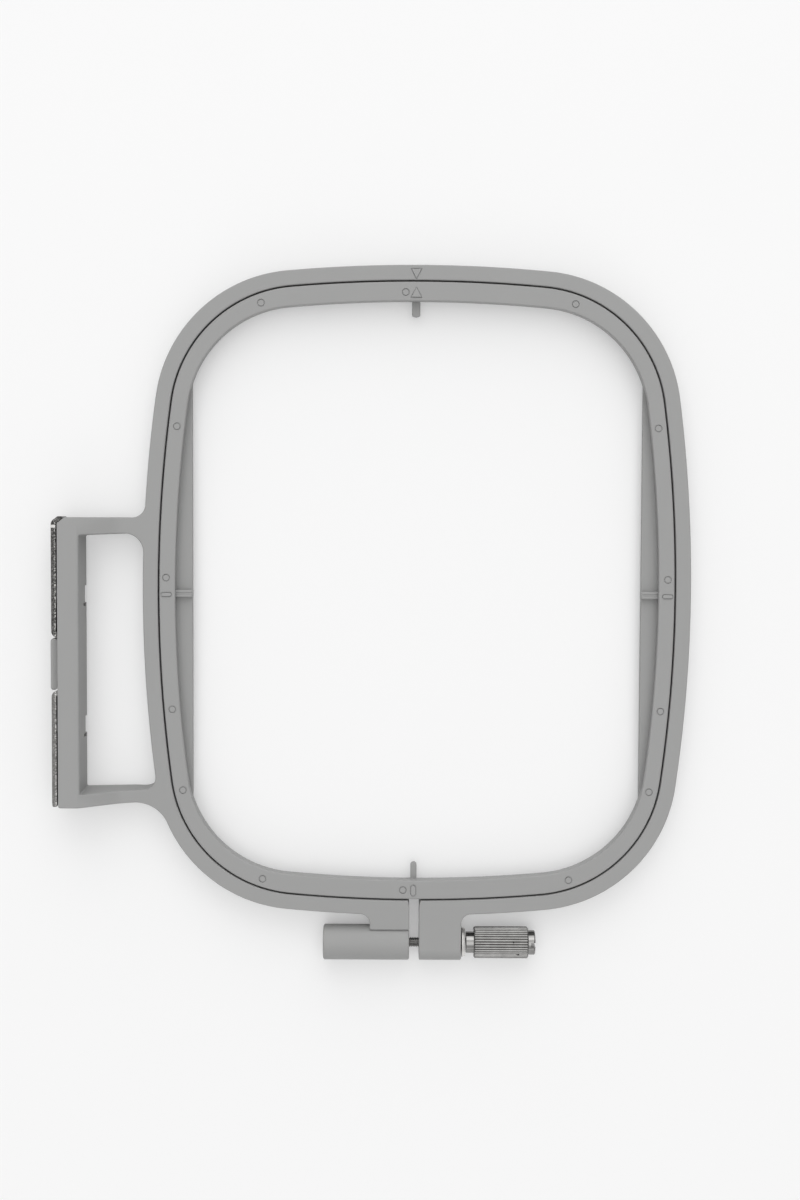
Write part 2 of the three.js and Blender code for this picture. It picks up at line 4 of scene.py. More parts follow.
import bmesh
import bpy
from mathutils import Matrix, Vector

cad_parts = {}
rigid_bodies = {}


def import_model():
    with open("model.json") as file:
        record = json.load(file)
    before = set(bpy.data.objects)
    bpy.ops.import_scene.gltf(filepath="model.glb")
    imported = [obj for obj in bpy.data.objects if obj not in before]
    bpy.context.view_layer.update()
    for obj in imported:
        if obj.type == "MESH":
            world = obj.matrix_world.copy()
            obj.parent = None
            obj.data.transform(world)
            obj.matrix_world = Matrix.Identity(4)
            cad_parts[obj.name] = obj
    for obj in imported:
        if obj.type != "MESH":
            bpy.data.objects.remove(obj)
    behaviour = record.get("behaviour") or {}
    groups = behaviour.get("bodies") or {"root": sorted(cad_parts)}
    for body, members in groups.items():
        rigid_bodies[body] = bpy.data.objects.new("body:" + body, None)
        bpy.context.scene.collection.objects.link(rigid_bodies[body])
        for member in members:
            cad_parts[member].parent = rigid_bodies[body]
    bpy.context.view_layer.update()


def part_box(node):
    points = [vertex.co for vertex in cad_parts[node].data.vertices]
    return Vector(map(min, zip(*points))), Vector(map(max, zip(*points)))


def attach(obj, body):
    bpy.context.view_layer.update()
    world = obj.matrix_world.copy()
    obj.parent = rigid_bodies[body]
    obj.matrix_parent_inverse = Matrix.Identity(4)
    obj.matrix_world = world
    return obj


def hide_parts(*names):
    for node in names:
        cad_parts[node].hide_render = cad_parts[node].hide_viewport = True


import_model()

mm = 0.001
quarter = math.pi / 2
halfTurn = math.pi
fullTurn = 2 * math.pi
touch = 0.005  # millimetres within which two points are one
over = 1  # millimetres that a cutter or a joined piece runs past the face it meets
flatTurn = 0.01  # radians below which two faces are one
facing = 0.6  # least share of a face's normal along an axis for the face to look that way

ringMiddle = sum(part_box("inner_ring"), Vector()) / 2
hoopCentre = Vector((ringMiddle.x, ringMiddle.y, 0))


def inHoop(node):  # a node's corners in millimetres from the hoop's centre
    low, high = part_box(node)
    return (low - hoopCentre) / mm, (high - hoopCentre) / mm


def span(middle, length):
    return middle - length / 2, middle + length / 2


ringHigh = inHoop("inner_ring")[1]
frameLow, frameHigh = inHoop("outer_frame")
screwLow, screwHigh = inHoop("clamp_screw")
washerLow, washerHigh = inHoop("cone_washer")
insertLow, insertHigh = inHoop("threaded_insert")
upperLow, upperHigh = inHoop("upper_leaf_spring")

ringTop = ringHigh.z
screwY = (screwLow.y + screwHigh.y) / 2
screwZ = (screwLow.z + screwHigh.z) / 2
print("frame loaded, hoop centre at", tuple(round(v, 4) for v in hoopCentre))


# Mesh helpers

def activate(piece):
    bpy.ops.object.select_all(action="DESELECT")
    piece.select_set(True)
    bpy.context.view_layer.objects.active = piece


def editMode():
    bpy.ops.object.mode_set(mode="EDIT")


def pickAll():
    bpy.ops.mesh.select_all(action="SELECT")


def pickNone(kind):
    bpy.ops.mesh.select_mode(type=kind)
    bpy.ops.mesh.select_all(action="DESELECT")


def bakeMoves():
    bpy.ops.object.transform_apply(location=True, rotation=True, scale=True)


def addShape(name, primitive, **settings):  # a primitive with its place and turn worked in
    bpy.ops.object.select_all(action="DESELECT")
    primitive(**settings)
    bakeMoves()
    piece = bpy.context.object
    piece.name = name
    piece.data.name = name
    return piece


def startPiece(name):  # an empty mesh, open for editing
    piece = addShape(name, bpy.ops.mesh.primitive_plane_add, size=1)
    editMode()
    bpy.ops.mesh.select_mode(type="VERT")
    bpy.ops.mesh.delete(type="VERT")
    return piece


def closePiece():  # merges doubles, points the faces outwards and leaves edit mode
    pickAll()
    bpy.ops.mesh.remove_doubles(threshold=touch)
    bpy.ops.mesh.normals_make_consistent(inside=False)
    bpy.ops.object.mode_set(mode="OBJECT")


def pick(kind, wanted):  # selects the verts, edges or faces of the edited mesh that pass a test
    pickNone(kind)
    mesh = bmesh.from_edit_mesh(bpy.context.object.data)
    for part in {"VERT": mesh.verts, "EDGE": mesh.edges, "FACE": mesh.faces}[kind]:
        if wanted(part):
            part.select_set(True)
    mesh.select_flush_mode()
    bmesh.update_edit_mesh(bpy.context.object.data)


def level(edge):
    return abs(edge.verts[0].co.z - edge.verts[1].co.z) < touch


def extrude(x, y, z):
    bpy.ops.mesh.extrude_region_move(TRANSFORM_OT_translate={"value": (x, y, z)})


def cutAcross(place, normal, **settings):  # cuts the edited mesh along a plane
    pickAll()
    bpy.ops.mesh.bisect(plane_co=place, plane_no=normal, **settings)


def modify(piece, kind, **settings):
    activate(piece)
    modifier = piece.modifiers.new(kind.title(), kind)
    for key, value in settings.items():
        setattr(modifier, key, value)
    bpy.ops.object.modifier_apply(modifier=modifier.name)


def combine(piece, operation, *tools):
    for tool in tools:
        modify(piece, "BOOLEAN", operation=operation, solver="MANIFOLD", object=tool)
        bpy.data.objects.remove(tool)
    return piece


def roundEdges(piece, radiusAt, widest, segments=4):  # bevels convex edges, each by its own radius
    mesh = bmesh.new()
    mesh.from_mesh(piece.data)
    weights = mesh.edges.layers.float.new("bevel_weight_edge")
    sharpTurn = math.radians(33)
    for edge in mesh.edges:
        if edge.is_manifold and edge.is_convex and edge.calc_face_angle() > sharpTurn:
            middle = (edge.verts[0].co + edge.verts[1].co) / 2
            edge[weights] = radiusAt(middle, edge) / widest
    mesh.to_mesh(piece.data)
    mesh.free()
    modify(piece, "BEVEL", width=widest, segments=segments, limit_method="WEIGHT",
           use_clamp_overlap=False, loop_slide=False)
    piece.data.attributes.remove(piece.data.attributes["bevel_weight_edge"])


def roundAll(piece, radius, segments=4):
    roundEdges(piece, lambda middle, edge: radius, radius, segments)


def smooth(piece, degrees=35):
    activate(piece)
    bpy.ops.object.shade_smooth_by_angle(angle=math.radians(degrees))
    modify(piece, "WEIGHTED_NORMAL", keep_sharp=True)


# Outlines: lists of points and arcs, drawn with a vertex as the pen

def arc(x, y, radius, start, end, steps=None):
    fine = 5.6 * math.sqrt(radius)  # steps per radian for an even chord error
    steps = steps or max(3, math.ceil(abs(end - start) * fine))
    return {"x": x, "y": y, "radius": radius, "start": start, "end": end, "steps": steps}


def boxPath(left, low, right, high):
    return [(left, low), (right, low), (right, high), (left, high)]


def pathEnds(item):
    if isinstance(item, tuple):
        return Vector(item), Vector(item)
    reach = [Vector((math.cos(item[k]), math.sin(item[k]))) * item["radius"] for k in ("start", "end")]
    centre = Vector((item["x"], item["y"]))
    return centre + reach[0], centre + reach[1]


def drawPath(path, height, closed=True, group=None):
    place = pathEnds(path[0])[0]
    items = [*path, tuple(place)] if closed else path
    pickNone("VERT")
    bpy.ops.mesh.primitive_plane_add(size=1, location=(*place, height))
    bpy.ops.mesh.merge(type="CENTER")
    for item in items:
        start, end = pathEnds(item)
        if (start - place).length > touch:
            extrude(*(start - place), 0)
        if not isinstance(item, tuple):  # with no window, spin turns clockwise
            bpy.ops.mesh.spin(steps=item["steps"], angle=item["start"] - item["end"],
                              center=(item["x"], item["y"], height), axis=(0, 0, 1))
        place = end
    bpy.ops.mesh.select_linked()
    bpy.ops.mesh.remove_doubles(threshold=touch)
    if group:
        bpy.ops.object.vertex_group_add()
        bpy.context.object.vertex_groups.active.name = group
        bpy.ops.object.vertex_group_assign()


def pickLoops(*groups):
    pickNone("VERT")
    for group in groups:
        bpy.ops.object.vertex_group_set_active(group=group)
        bpy.ops.object.vertex_group_select()


def bridge(first, second):
    pickLoops(first, second)
    bpy.ops.mesh.bridge_edge_loops()


def prism(name, path, bottom, top):  # a plan outline, run up in Z
    piece = startPiece(name)
    drawPath(path, bottom)
    bpy.ops.mesh.edge_face_add()
    extrude(0, 0, top - bottom)
    closePiece()
    return piece


def turnPiece(piece, x, y, z):
    activate(piece)
    piece.rotation_euler = (x, y, z)
    bakeMoves()
    return piece


def prismAlongY(name, path, start, end):  # a profile in X and Z, run along Y
    return turnPiece(prism(name, path, -end, -start), quarter, 0, 0)


def prismAlongX(name, path, start, end):  # a profile in Y and Z, run along X
    return turnPiece(prism(name, path, start, end), quarter, 0, quarter)


def turned(name, profile, steps=72):  # a profile of X and radius, spun round the screw's axis
    piece = startPiece(name)
    moved = []
    for item in profile:
        if isinstance(item, tuple):
            moved.append((item[0], item[1] + screwY))
        else:
            moved.append({**item, "y": item["y"] + screwY})
    drawPath(moved, screwZ, closed=False)
    bpy.ops.mesh.spin(steps=steps, angle=fullTurn, center=(0, screwY, screwZ), axis=(1, 0, 0))
    closePiece()
    return piece


def rod(name, start, end, diameter):
    radius = diameter / 2
    return turned(name, [(start, 0), (start, radius), (end, radius), (end, 0)], steps=48)


def mirrored(piece):
    modify(piece, "MIRROR", use_axis=(True, False, False))
    return piece


# Hoop outlines: bowed rectangles as tangent arcs, from the middle of the lower end

hoop = {
    "bow": 343, "rimCorner": 31.9, "openingCorner": 27, "frameCorner": 35.2,
    "sideWidth": 3.9, "endWidth": 4.7, "ringGap": 0.36, "frameWall": 3.64,
    "bowSteps": 34, "cornerSteps": 34,
}


def grown(outline, by):
    return {key: value + by for key, value in outline.items()}


def hoopArcs(outline):
    bow, bend = hoop["bowSteps"], hoop["cornerSteps"]
    sideR, endR, corner = outline["sideRadius"], outline["endRadius"], outline["corner"]
    side = Vector((outline["halfWidth"] - sideR, 0))
    end = Vector((0, outline["halfLength"] - endR))
    distance = (end - side).length
    along = (end - side).normalized()
    toSide = sideR - corner
    toEnd = endR - corner
    run = (toSide ** 2 - toEnd ** 2 + distance ** 2) / (2 * distance)
    rise = math.sqrt(toSide ** 2 - run ** 2)
    x = side.x + along.x * run - along.y * rise
    y = side.y + along.y * run + along.x * rise
    sideTurn = math.atan2(y, x - side.x)
    endTurn = math.atan2(x, y - end.y)
    return [
        arc(0, -end.y, endR, 3 * quarter, 3 * quarter + endTurn, bow // 2),
        arc(x, -y, corner, 3 * quarter + endTurn, fullTurn - sideTurn, bend),
        arc(side.x, 0, sideR, -sideTurn, sideTurn, bow),
        arc(x, y, corner, sideTurn, quarter - endTurn, bend),
        arc(0, end.y, endR, quarter - endTurn, quarter + endTurn, bow),
        arc(-x, y, corner, quarter + endTurn, halfTurn - sideTurn, bend),
        arc(-side.x, 0, sideR, halfTurn - sideTurn, halfTurn + sideTurn, bow),
        arc(-x, -y, corner, halfTurn + sideTurn, 3 * quarter - endTurn, bend),
        arc(0, -end.y, endR, 3 * quarter - endTurn, 3 * quarter, bow // 2),
    ]


rimOutline = {
    "halfWidth": ringHigh.x, "halfLength": ringHigh.y,
    "sideRadius": hoop["bow"], "endRadius": hoop["bow"], "corner": hoop["rimCorner"],
}
opening = {
    "halfWidth": ringHigh.x - hoop["sideWidth"],
    "halfLength": ringHigh.y - hoop["endWidth"],
    "sideRadius": hoop["bow"] - hoop["sideWidth"],
    "endRadius": hoop["bow"] - hoop["endWidth"],
    "corner": hoop["openingCorner"],
}
boreOutline = grown(rimOutline, hoop["ringGap"])
frameOutline = {**grown(boreOutline, hoop["frameWall"]), "corner": hoop["frameCorner"]}


# Finishes

class Wire:  # one output socket, with arithmetic
    def __init__(self, look, socket):
        self.look = look
        self.socket = socket

    def math(self, operation, first, second):
        return self.look.add("Math", {0: first, 1: second}, operation=operation)

    def __add__(self, other):
        return self.math("ADD", self, other)

    def __radd__(self, other):
        return self.math("ADD", other, self)

    def __sub__(self, other):
        return self.math("SUBTRACT", self, other)

    def __rsub__(self, other):
        return self.math("SUBTRACT", other, self)

    def __mul__(self, other):
        return self.math("MULTIPLY", self, other)

    def __rmul__(self, other):
        return self.math("MULTIPLY", other, self)


class Look:  # a node tree that is filled from its first node to its last
    def __init__(self, owner):
        owner.use_nodes = True
        self.owner = owner
        self.tree = owner.node_tree
        self.tree.nodes.clear()

    def add(self, kind, sockets, output=0, **settings):
        node = self.tree.nodes.new("ShaderNode" + kind)
        for key, value in settings.items():
            if key == "stops":
                self.setStops(node.color_ramp.elements, value)
            else:
                setattr(node, key, value)
        for key, value in sockets.items():
            if isinstance(value, Wire):
                self.tree.links.new(value.socket, node.inputs[key])
            else:
                node.inputs[key].default_value = value
        return Wire(self, node.outputs[output]) if node.outputs else None

    def setStops(self, elements, stops):
        while len(elements) < len(stops):
            elements.new(0.5)
        for element, (position, tone) in zip(elements, stops):
            element.position = position
            element.color = (tone, tone, tone, 1)

    def place(self, output="Object"):
        return self.add("TexCoord", {}, output)

    def noise(self, place, scale, detail, roughness):
        sockets = {"Vector": place, "Scale": scale, "Detail": detail, "Roughness": roughness}
        return self.add("TexNoise", sockets)

    def ramp(self, value, *stops):
        return self.add("ValToRGB", {"Fac": value}, stops=stops)

    def blend(self, factor, first, second):
        return self.add("Mix", {0: factor, 6: first, 7: second}, 2, data_type="RGBA")

    def bump(self, height, strength, distance):
        sockets = {"Height": height, "Strength": strength, "Distance": distance}
        return self.add("Bump", sockets)

    def surface(self, **sockets):
        named = {key.replace("_", " "): value for key, value in sockets.items()}
        shader = self.add("BsdfPrincipled", named)
        self.add("OutputMaterial", {"Surface": shader})
        return self.owner


def newLook(name):
    return Look(bpy.data.materials.new(name))


# A noise is given as scale, detail and roughness, and a bump as strength and distance
moulded = {
    "light": (0.338, 0.338, 0.335, 1),
    "dark": (0.308, 0.308, 0.305, 1),
    "cloud": (70, 4, 0.55), "cloudTone": 0.7,
    "grain": (2600, 3, 0.6), "grainTone": 0.3,
    "roughness": 0.4, "roughSpread": 0.1, "gloss": 0.3, "bump": (0.16, 0.00006),
}


def greyPlastic():
    look = newLook("greyPlastic")
    place = look.place()
    cloud = look.noise(place, *moulded["cloud"])
    grain = look.noise(place, *moulded["grain"])
    tone = cloud * moulded["cloudTone"] + grain * moulded["grainTone"]
    colour = look.blend(tone, moulded["dark"], moulded["light"])
    spread = moulded["roughSpread"]
    rough = cloud * spread + grain * spread + moulded["roughness"]
    return look.surface(Base_Color=colour, Roughness=rough, Specular_IOR_Level=moulded["gloss"],
                        Normal=look.bump(grain, *moulded["bump"]))


# painted shade: the screw's plate is darker than bare nickel, standing in for the dark surroundings it
# reflects
nickelLook = {
    "bright": (0.355, 0.351, 0.343, 1),
    "dull": (0.14, 0.139, 0.136, 1),
    "pit": (0.05, 0.048, 0.046, 1),
    "pits": (900, 2, 0.5), "pitEdge": ((0.7, 0.0), (0.74, 1.0)), "pitRough": 0.3,
    "patches": (420, 4, 0.6), "patchRough": 0.14,
    "roughness": 0.08, "bump": (0.05, 0.0001),
}
# painted light: a lighter copy of the same nickel plate for the washer, standing in for the light it
# catches
nickelLitCopyLook = {
    **nickelLook, "roughness": 0.4,
    "bright": (0.85, 0.84, 0.82, 1),
    "dull": (0.65, 0.64, 0.62, 1),
}


def nickelPlate(name, plating):
    look = newLook(name)
    place = look.place()
    pitted = look.ramp(look.noise(place, *plating["pits"]), *plating["pitEdge"])
    patches = look.noise(place, *plating["patches"])
    plate = look.blend(patches, plating["dull"], plating["bright"])
    colour = look.blend(pitted, plate, plating["pit"])
    rough = patches * plating["patchRough"] + pitted * plating["pitRough"] + plating["roughness"]
    return look.surface(Base_Color=colour, Metallic=1.0, Roughness=rough,
                        Normal=look.bump(patches, *plating["bump"]))


steelLook = {
    "face": (0.34, 0.333, 0.32, 1),
    "worn": (0.18, 0.177, 0.17, 1),
    "stretch": (1, 0.12, 1),
    "lines": (2700, 3, 0.6), "linesTone": 0.4, "linesRough": 0.2,
    "patches": (450, 4, 0.6), "patchTone": 0.6, "patchRough": 0.15,
    "roughness": 0.2, "bump": (0.1, 0.00005),
}
# painted shade: near-black steel for the springs' faces towards the bar, standing in for the shade in
# the gap beside them
paintedShadeLook = {**steelLook, "face": (0.02, 0.02, 0.0196, 1), "worn": (0.01, 0.01, 0.0098, 1)}
# painted glint: brighter steel standing in for the highlight on the upper spring's bend
paintedGlintLook = {**steelLook, "face": (0.56, 0.554, 0.542, 1), "worn": (0.42, 0.415, 0.406, 1)}


def springSteel(name, finish):
    look = newLook(name)
    place = look.place()
    stretch = look.add("Mapping", {"Vector": place, "Scale": finish["stretch"]})
    lines = look.noise(stretch, *finish["lines"])
    patches = look.noise(place, *finish["patches"])
    tone = patches * finish["patchTone"] + lines * finish["linesTone"]
    colour = look.blend(tone, finish["worn"], finish["face"])
    rough = lines * finish["linesRough"] + patches * finish["patchRough"] + finish["roughness"]
    return look.surface(Base_Color=colour, Metallic=1.0, Roughness=rough,
                        Normal=look.bump(lines, *finish["bump"]))


sheared = {
    # glint and the flecks made from it are painted highlights along the real burr
    "glint": (0.75, 0.74, 0.72, 1),
    # torn steel, painted darker on the upper strip and lighter on the lower: shaded and lit copies of
    # one steel
    "tornShadedUpper": (0.07, 0.069, 0.067, 1),
    "tornLitLower": (0.18, 0.177, 0.172, 1),
    "grain": (3400, 3, 0.65), "fleckEdge": ((0.48, 0.0), (0.6, 1.0)), "fleckShine": 0.3,
    "roughness": 0.6, "burr": 0.0005, "burrEdge": ((0.0, 0.2), (0.9, 1.0), (1.0, 0.2)),
    "bump": (0.5, 0.0001),
}


def shearedSteel(name, torn, barSide):  # torn, with painted glints (bright flecks standing in for the burr's sparkle) along the burr on the bar's side
    look = newLook(name)
    place = look.place()
    x = look.add("SeparateXYZ", {"Vector": place}, "X")
    grain = look.noise(place, *sheared["grain"])
    burr = look.ramp((x - barSide) * (1 / sheared["burr"]) + 1, *sheared["burrEdge"])
    flecks = look.ramp(grain, *sheared["fleckEdge"]) * burr
    colour = look.blend(flecks, torn, sheared["glint"])
    rough = sheared["roughness"] - flecks * sheared["fleckShine"]
    return look.surface(Base_Color=colour, Metallic=1.0, Roughness=rough,
                        Normal=look.bump(grain, *sheared["bump"]))


brassLook = {
    "bright": (0.6, 0.44, 0.19, 1),
    "dull": (0.42, 0.3, 0.13, 1),
    "patches": (700, 4, 0.6), "patchRough": 0.25, "roughness": 0.2,
}


def turnedBrass():
    look = newLook("turnedBrass")
    patches = look.noise(look.place(), *brassLook["patches"])
    colour = look.blend(patches, brassLook["dull"], brassLook["bright"])
    rough = patches * brassLook["patchRough"] + brassLook["roughness"]
    return look.surface(Base_Color=colour, Metallic=1.0, Roughness=rough)


plastic = greyPlastic()
nickel = nickelPlate("nickelPlate", nickelLook)
nickelLitCopy = nickelPlate("nickelLitCopy", nickelLitCopyLook)
steel = springSteel("springSteel", steelLook)
paintedShadeSteel = springSteel("paintedShadeSteel", paintedShadeLook)
paintedGlint = springSteel("paintedGlintSteel", paintedGlintLook)
brass = turnedBrass()
print("finishes made")


def setPiece(piece, node, body, slot, *finishes):  # from hoop millimetres to the frame's metres
    activate(piece)
    piece.vertex_groups.clear()
    piece.scale = (mm, mm, mm)
    piece.location = hoopCentre
    bakeMoves()
    if len(finishes) == 1:  # a boolean leaves empty slots behind
        bpy.ops.object.material_slot_remove_all()
    for finish in finishes:
        piece.data.materials.append(finish)
    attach(piece, body)
    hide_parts(node)
    print(piece.name, "placed,", len(piece.data.polygons), "faces")


# Outer frame: the split ring with its clamp lugs, and the arms that rise to the coupling bar

clamp = {
    "split": 2.4, "splitPlace": -0.28, "flareWidth": 0.3, "flareLength": 1.5,
    "webLength": 9.72, "webEdge": -82.6, "webStep": 0.6,
    "bossLength": 21.15, "bossDiameter": 8.65, "bossEndRound": 0.5, "bossEndWall": 1.4,
    "lugLength": 10.38, "lugEndRound": 3, "lugFillet": 2.4,
    "bore": 3.1, "insertRoom": 0.3, "seatRoom": 0.35,
}
leftLip, rightLip = span(clamp["splitPlace"], clamp["split"])
lugFace = rightLip + clamp["lugLength"]
webFace = leftLip - clamp["webLength"]
bossFace = leftLip - clamp["bossLength"]
lugEnd = frameLow.y

bar = {
    "length": 70.3, "centre": -17.08, "width": 5.14, "height": 9.5,
    "draft": 0.27, "upperDraft": 0.2, "lowerDraft": 1.53, "lowerDraftAtRing": 0.3,
    "draftLow": (0.73, 0.93), "draftHigh": (0.07, 0.42),  # shares of the drafts at the bar and the ring
    "cornerRound": 0.5, "innerRound": 0.4, "leadX": 1.9, "leadY": 1.5,
    "upperArmAtBar": 4.25, "upperArmAtRing": 3.8,
    "lowerArmAtBar": 3.1, "lowerArmAtRing": 3.04, "lowerArmRise": 0.67,
    "slopeLead": 0.6, "slopeRun": 10.07, "slopeEase": 2.0, "footRun": 3, "footEase": 0.5,
    "upperOuterFillet": 3.2, "upperInnerFillet": 4.6,
    "lowerInnerFillet": 3, "lowerOuterFillet": 8.5,
    "blockCentre": -17.47, "blockLength": 12.55, "blockProud": 2, "blockTopDrop": 1.5,
    "blockTopFall": 0.9, "blockBottomRise": 0.5, "blockRound": 0.6,
    "relief": 1.1, "springRoom": 0.35,
    "pinSpacing": 32, "pinNotchWidth": 5, "pinNotchHeight": 1.9,
    "pocketWidth": 0.75, "pocketBottom": 0.5, "pocketTop": 3.6, "pocketDepth": 0.33, "pocketWall": 0.1,
}
barOuter = frameLow.x + bar["blockProud"]
barInner = barOuter + bar["width"]
barTop = frameHigh.z
barBottom = barTop - bar["height"]
bracketLow, bracketTop = span(bar["centre"], bar["length"])
blockLower, blockUpper = span(bar["blockCentre"], bar["blockLength"])
slopeStart = barInner - bar["slopeLead"]
slopeEnd = slopeStart + bar["slopeRun"]
foot = -frameOutline["halfWidth"] - bar["footRun"]
springLow = upperLow.z
springTop = upperHigh.z


def armFillet(ringArc, edge, side, radius):  # touches the ring from outside and an arm's level edge
    y = edge + side * radius
    x = ringArc["x"] - math.sqrt((ringArc["radius"] + radius) ** 2 - (y - ringArc["y"]) ** 2)
    inward = math.atan2(ringArc["y"] - y, ringArc["x"] - x)
    outward = (inward % fullTurn + halfTurn) % fullTurn
    return {"x": x, "y": y, "radius": radius, "inward": inward, "outward": outward}


def lugFillet(end, edge, side):  # touches the ring's lower end and a lug's upright edge
    radius = clamp["lugFillet"]
    x = edge + side * radius
    y = end["y"] - math.sqrt((end["radius"] + radius) ** 2 - x ** 2)
    outward = fullTurn + math.atan2(y - end["y"], x)
    return {"x": x, "y": y, "radius": radius, "outward": outward, "inward": outward - halfTurn}


def arcOn(circle, start, end, steps=None):
    return arc(circle["x"], circle["y"], circle["radius"], start, end, steps)


def framePath():
    outer = hoopArcs(frameOutline)
    bore = hoopArcs(boreOutline)
    right = lugFillet(outer[0], lugFace, 1)
    left = lugFillet(outer[8], webFace, -1)
    armEdge = bracketLow + bar["lowerArmRise"]
    upper = armFillet(outer[6], bracketTop, 1, bar["upperOuterFillet"])
    lower = armFillet(outer[7], armEdge, -1, bar["lowerOuterFillet"])
    outer[0]["start"] = right["outward"]
    outer[8]["end"] = left["outward"]
    outer[6]["end"] = upper["outward"]
    outer[6]["steps"] //= 3  # only its part above the arms is left
    outer[7]["start"] = lower["outward"]
    boreEnd = boreOutline["endRadius"]
    flare = clamp["flareWidth"]
    bore[0]["start"] = 3 * quarter + math.asin((rightLip + flare) / boreEnd)
    bore[8]["end"] = 3 * quarter + math.asin((leftLip - flare) / boreEnd)
    flareY = bore[0]["y"] - boreEnd - clamp["flareLength"]
    corner = bar["cornerRound"]
    return [
        (rightLip, flareY), (rightLip, lugEnd), (lugFace, lugEnd),
        arcOn(right, halfTurn, right["inward"]),
        *outer[:7],
        arcOn(upper, upper["inward"], -quarter),
        (barOuter + bar["leadX"], bracketTop), (barOuter, bracketTop - bar["leadY"]),
        arc(barOuter + corner, bracketLow + corner, corner, halfTurn, 3 * quarter),
        (barInner, bracketLow), arcOn(lower, quarter, lower["inward"]),
        *outer[7:],
        arcOn(left, left["inward"], 0),
        (webFace, screwY), (leftLip, screwY), (leftLip, flareY),
        *[arcOn(part, part["end"], part["start"], part["steps"]) for part in reversed(bore)],
    ]


gapSteps = {"fillet": 12, "ring": 30, "corner": 4}  # alike at both heights, so that the loops bridge


def gapPath(atBar, atRing):  # takes the shares of the walls' drafts at the bar and at the ring
    side = hoopArcs(frameOutline)[6]
    upperEdge = bracketTop - bar["upperArmAtRing"] - atRing * bar["upperDraft"]
    upperAtBar = bracketTop - bar["upperArmAtBar"] - atBar * bar["upperDraft"]
    lowerEdge = bracketLow + bar["lowerArmRise"] + bar["lowerArmAtRing"]
    lowerEdge += atRing * bar["lowerDraftAtRing"]
    lowerAtBar = bracketLow + bar["lowerArmAtBar"] + atBar * bar["lowerDraft"]
    upper = armFillet(side, upperEdge, -1, bar["upperInnerFillet"])
    lower = armFillet(side, lowerEdge, 1, bar["lowerInnerFillet"])
    corner = bar["innerRound"]
    face = barInner + atBar * bar["draft"] + corner
    return [
        arcOn(upper, quarter, upper["inward"], gapSteps["fillet"]),
        arcOn(side, upper["outward"], lower["outward"], gapSteps["ring"]),
        arcOn(lower, lower["inward"], -quarter, gapSteps["fillet"]),
        arc(face, lowerAtBar + corner, corner, 3 * quarter, halfTurn, gapSteps["corner"]),
        arc(face, upperAtBar - corner, corner, halfTurn, quarter, gapSteps["corner"]),
    ]


def eased(x, kink, before, after, half):  # a line that turns at a kink, rounded over half each way
    if x <= kink - half:
        return before * (x - kink)
    if x >= kink + half:
        return after * (x - kink)
    return before * (x - kink) + (after - before) * (x - kink + half) ** 2 / (4 * half)


armSlope = (ringTop - barTop) / bar["slopeRun"]
footSlope = -barBottom / (foot - slopeStart)
slopeEase = bar["slopeEase"]


def bracketHeight(x):
    return barTop + armSlope * max(0, x - slopeStart) + eased(x, slopeEnd, 0, -armSlope, slopeEase)


def bracketUnderside(x):
    return max(0, barBottom + eased(x, slopeStart, 0, footSlope, bar["footEase"]))


edgeRound = {"usual": 0.32, "lips": 0.22, "springSide": 0.15, "lipReach": 1, "lipStart": 0.4}


def frameEdgeRadius(middle, edge):  # even along each line of edges, or the bevels cross
    thin = edgeRound["springSide"]
    reach = edgeRound["lipReach"]
    nearSplit = leftLip - reach < middle.x < rightLip + reach
    if nearSplit and middle.y < -boreOutline["halfLength"] - edgeRound["lipStart"]:
        return edgeRound["lips"]
    if middle.x < barOuter + bar["leadX"] and middle.y > bracketTop - bar["leadY"] - touch:
        return thin
    share = min(1, max(0, (middle.x - barOuter) / bar["cornerRound"]))
    return thin + share * (edgeRound["usual"] - thin)


def frameBody():
    piece = startPiece("mouldedFrame")
    drawPath(framePath(), 0, group="outerLow")
    drawPath(framePath(), ringTop, group="outerTop")
    drawPath(gapPath(*bar["draftLow"]), 0, group="gapLow")
    drawPath(gapPath(*bar["draftHigh"]), ringTop, group="gapTop")
    bridge("outerLow", "outerTop")
    bridge("gapLow", "gapTop")
    for end in ("Low", "Top"):
        pickLoops("outer" + end, "gap" + end)
        bpy.ops.mesh.fill(use_beauty=False)
        bpy.ops.mesh.dissolve_limited(angle_limit=0.0005)
    for x in (slopeStart, *(slopeEnd + slopeEase * k / 2 for k in (-2, -1, 0, 1, 2))):
        cutAcross((x, 0, 0), (1, 0, 0))
    pickAll()
    bpy.ops.mesh.remove_doubles(threshold=20 * touch)  # clears the slivers beside the strips
    mesh = bmesh.from_edit_mesh(piece.data)
    for vert in mesh.verts:
        if vert.co.x < slopeEnd + slopeEase + touch:
            shape = bracketHeight if vert.co.z > ringTop / 2 else bracketUnderside
            vert.co.z = shape(vert.co.x)
    bmesh.update_edit_mesh(piece.data)
    atEnd = lambda vert: vert.co.y < lugEnd + touch
    flat = lambda edge: edge.calc_face_angle() < flatTurn
    pick("EDGE", lambda edge: any(map(atEnd, edge.verts)) and level(edge) and flat(edge))
    bpy.ops.mesh.dissolve_edges(use_verts=False)
    pick("EDGE", lambda edge: all(map(atEnd, edge.verts)) and level(edge))
    bpy.ops.mesh.bevel(offset=clamp["lugEndRound"], segments=12, affect="EDGES", clamp_overlap=False)
    closePiece()
    roundEdges(piece, frameEdgeRadius, widest=1.0)
    return piece


def screwBoss():
    radius = clamp["bossDiameter"] / 2
    soft = clamp["bossEndRound"]
    return turned("screwBoss", [
        (bossFace, 0), arc(bossFace + soft, radius - soft, soft, halfTurn, quarter),
        arc(leftLip - soft, radius - soft, soft, quarter, 0), (leftLip, 0),
    ])


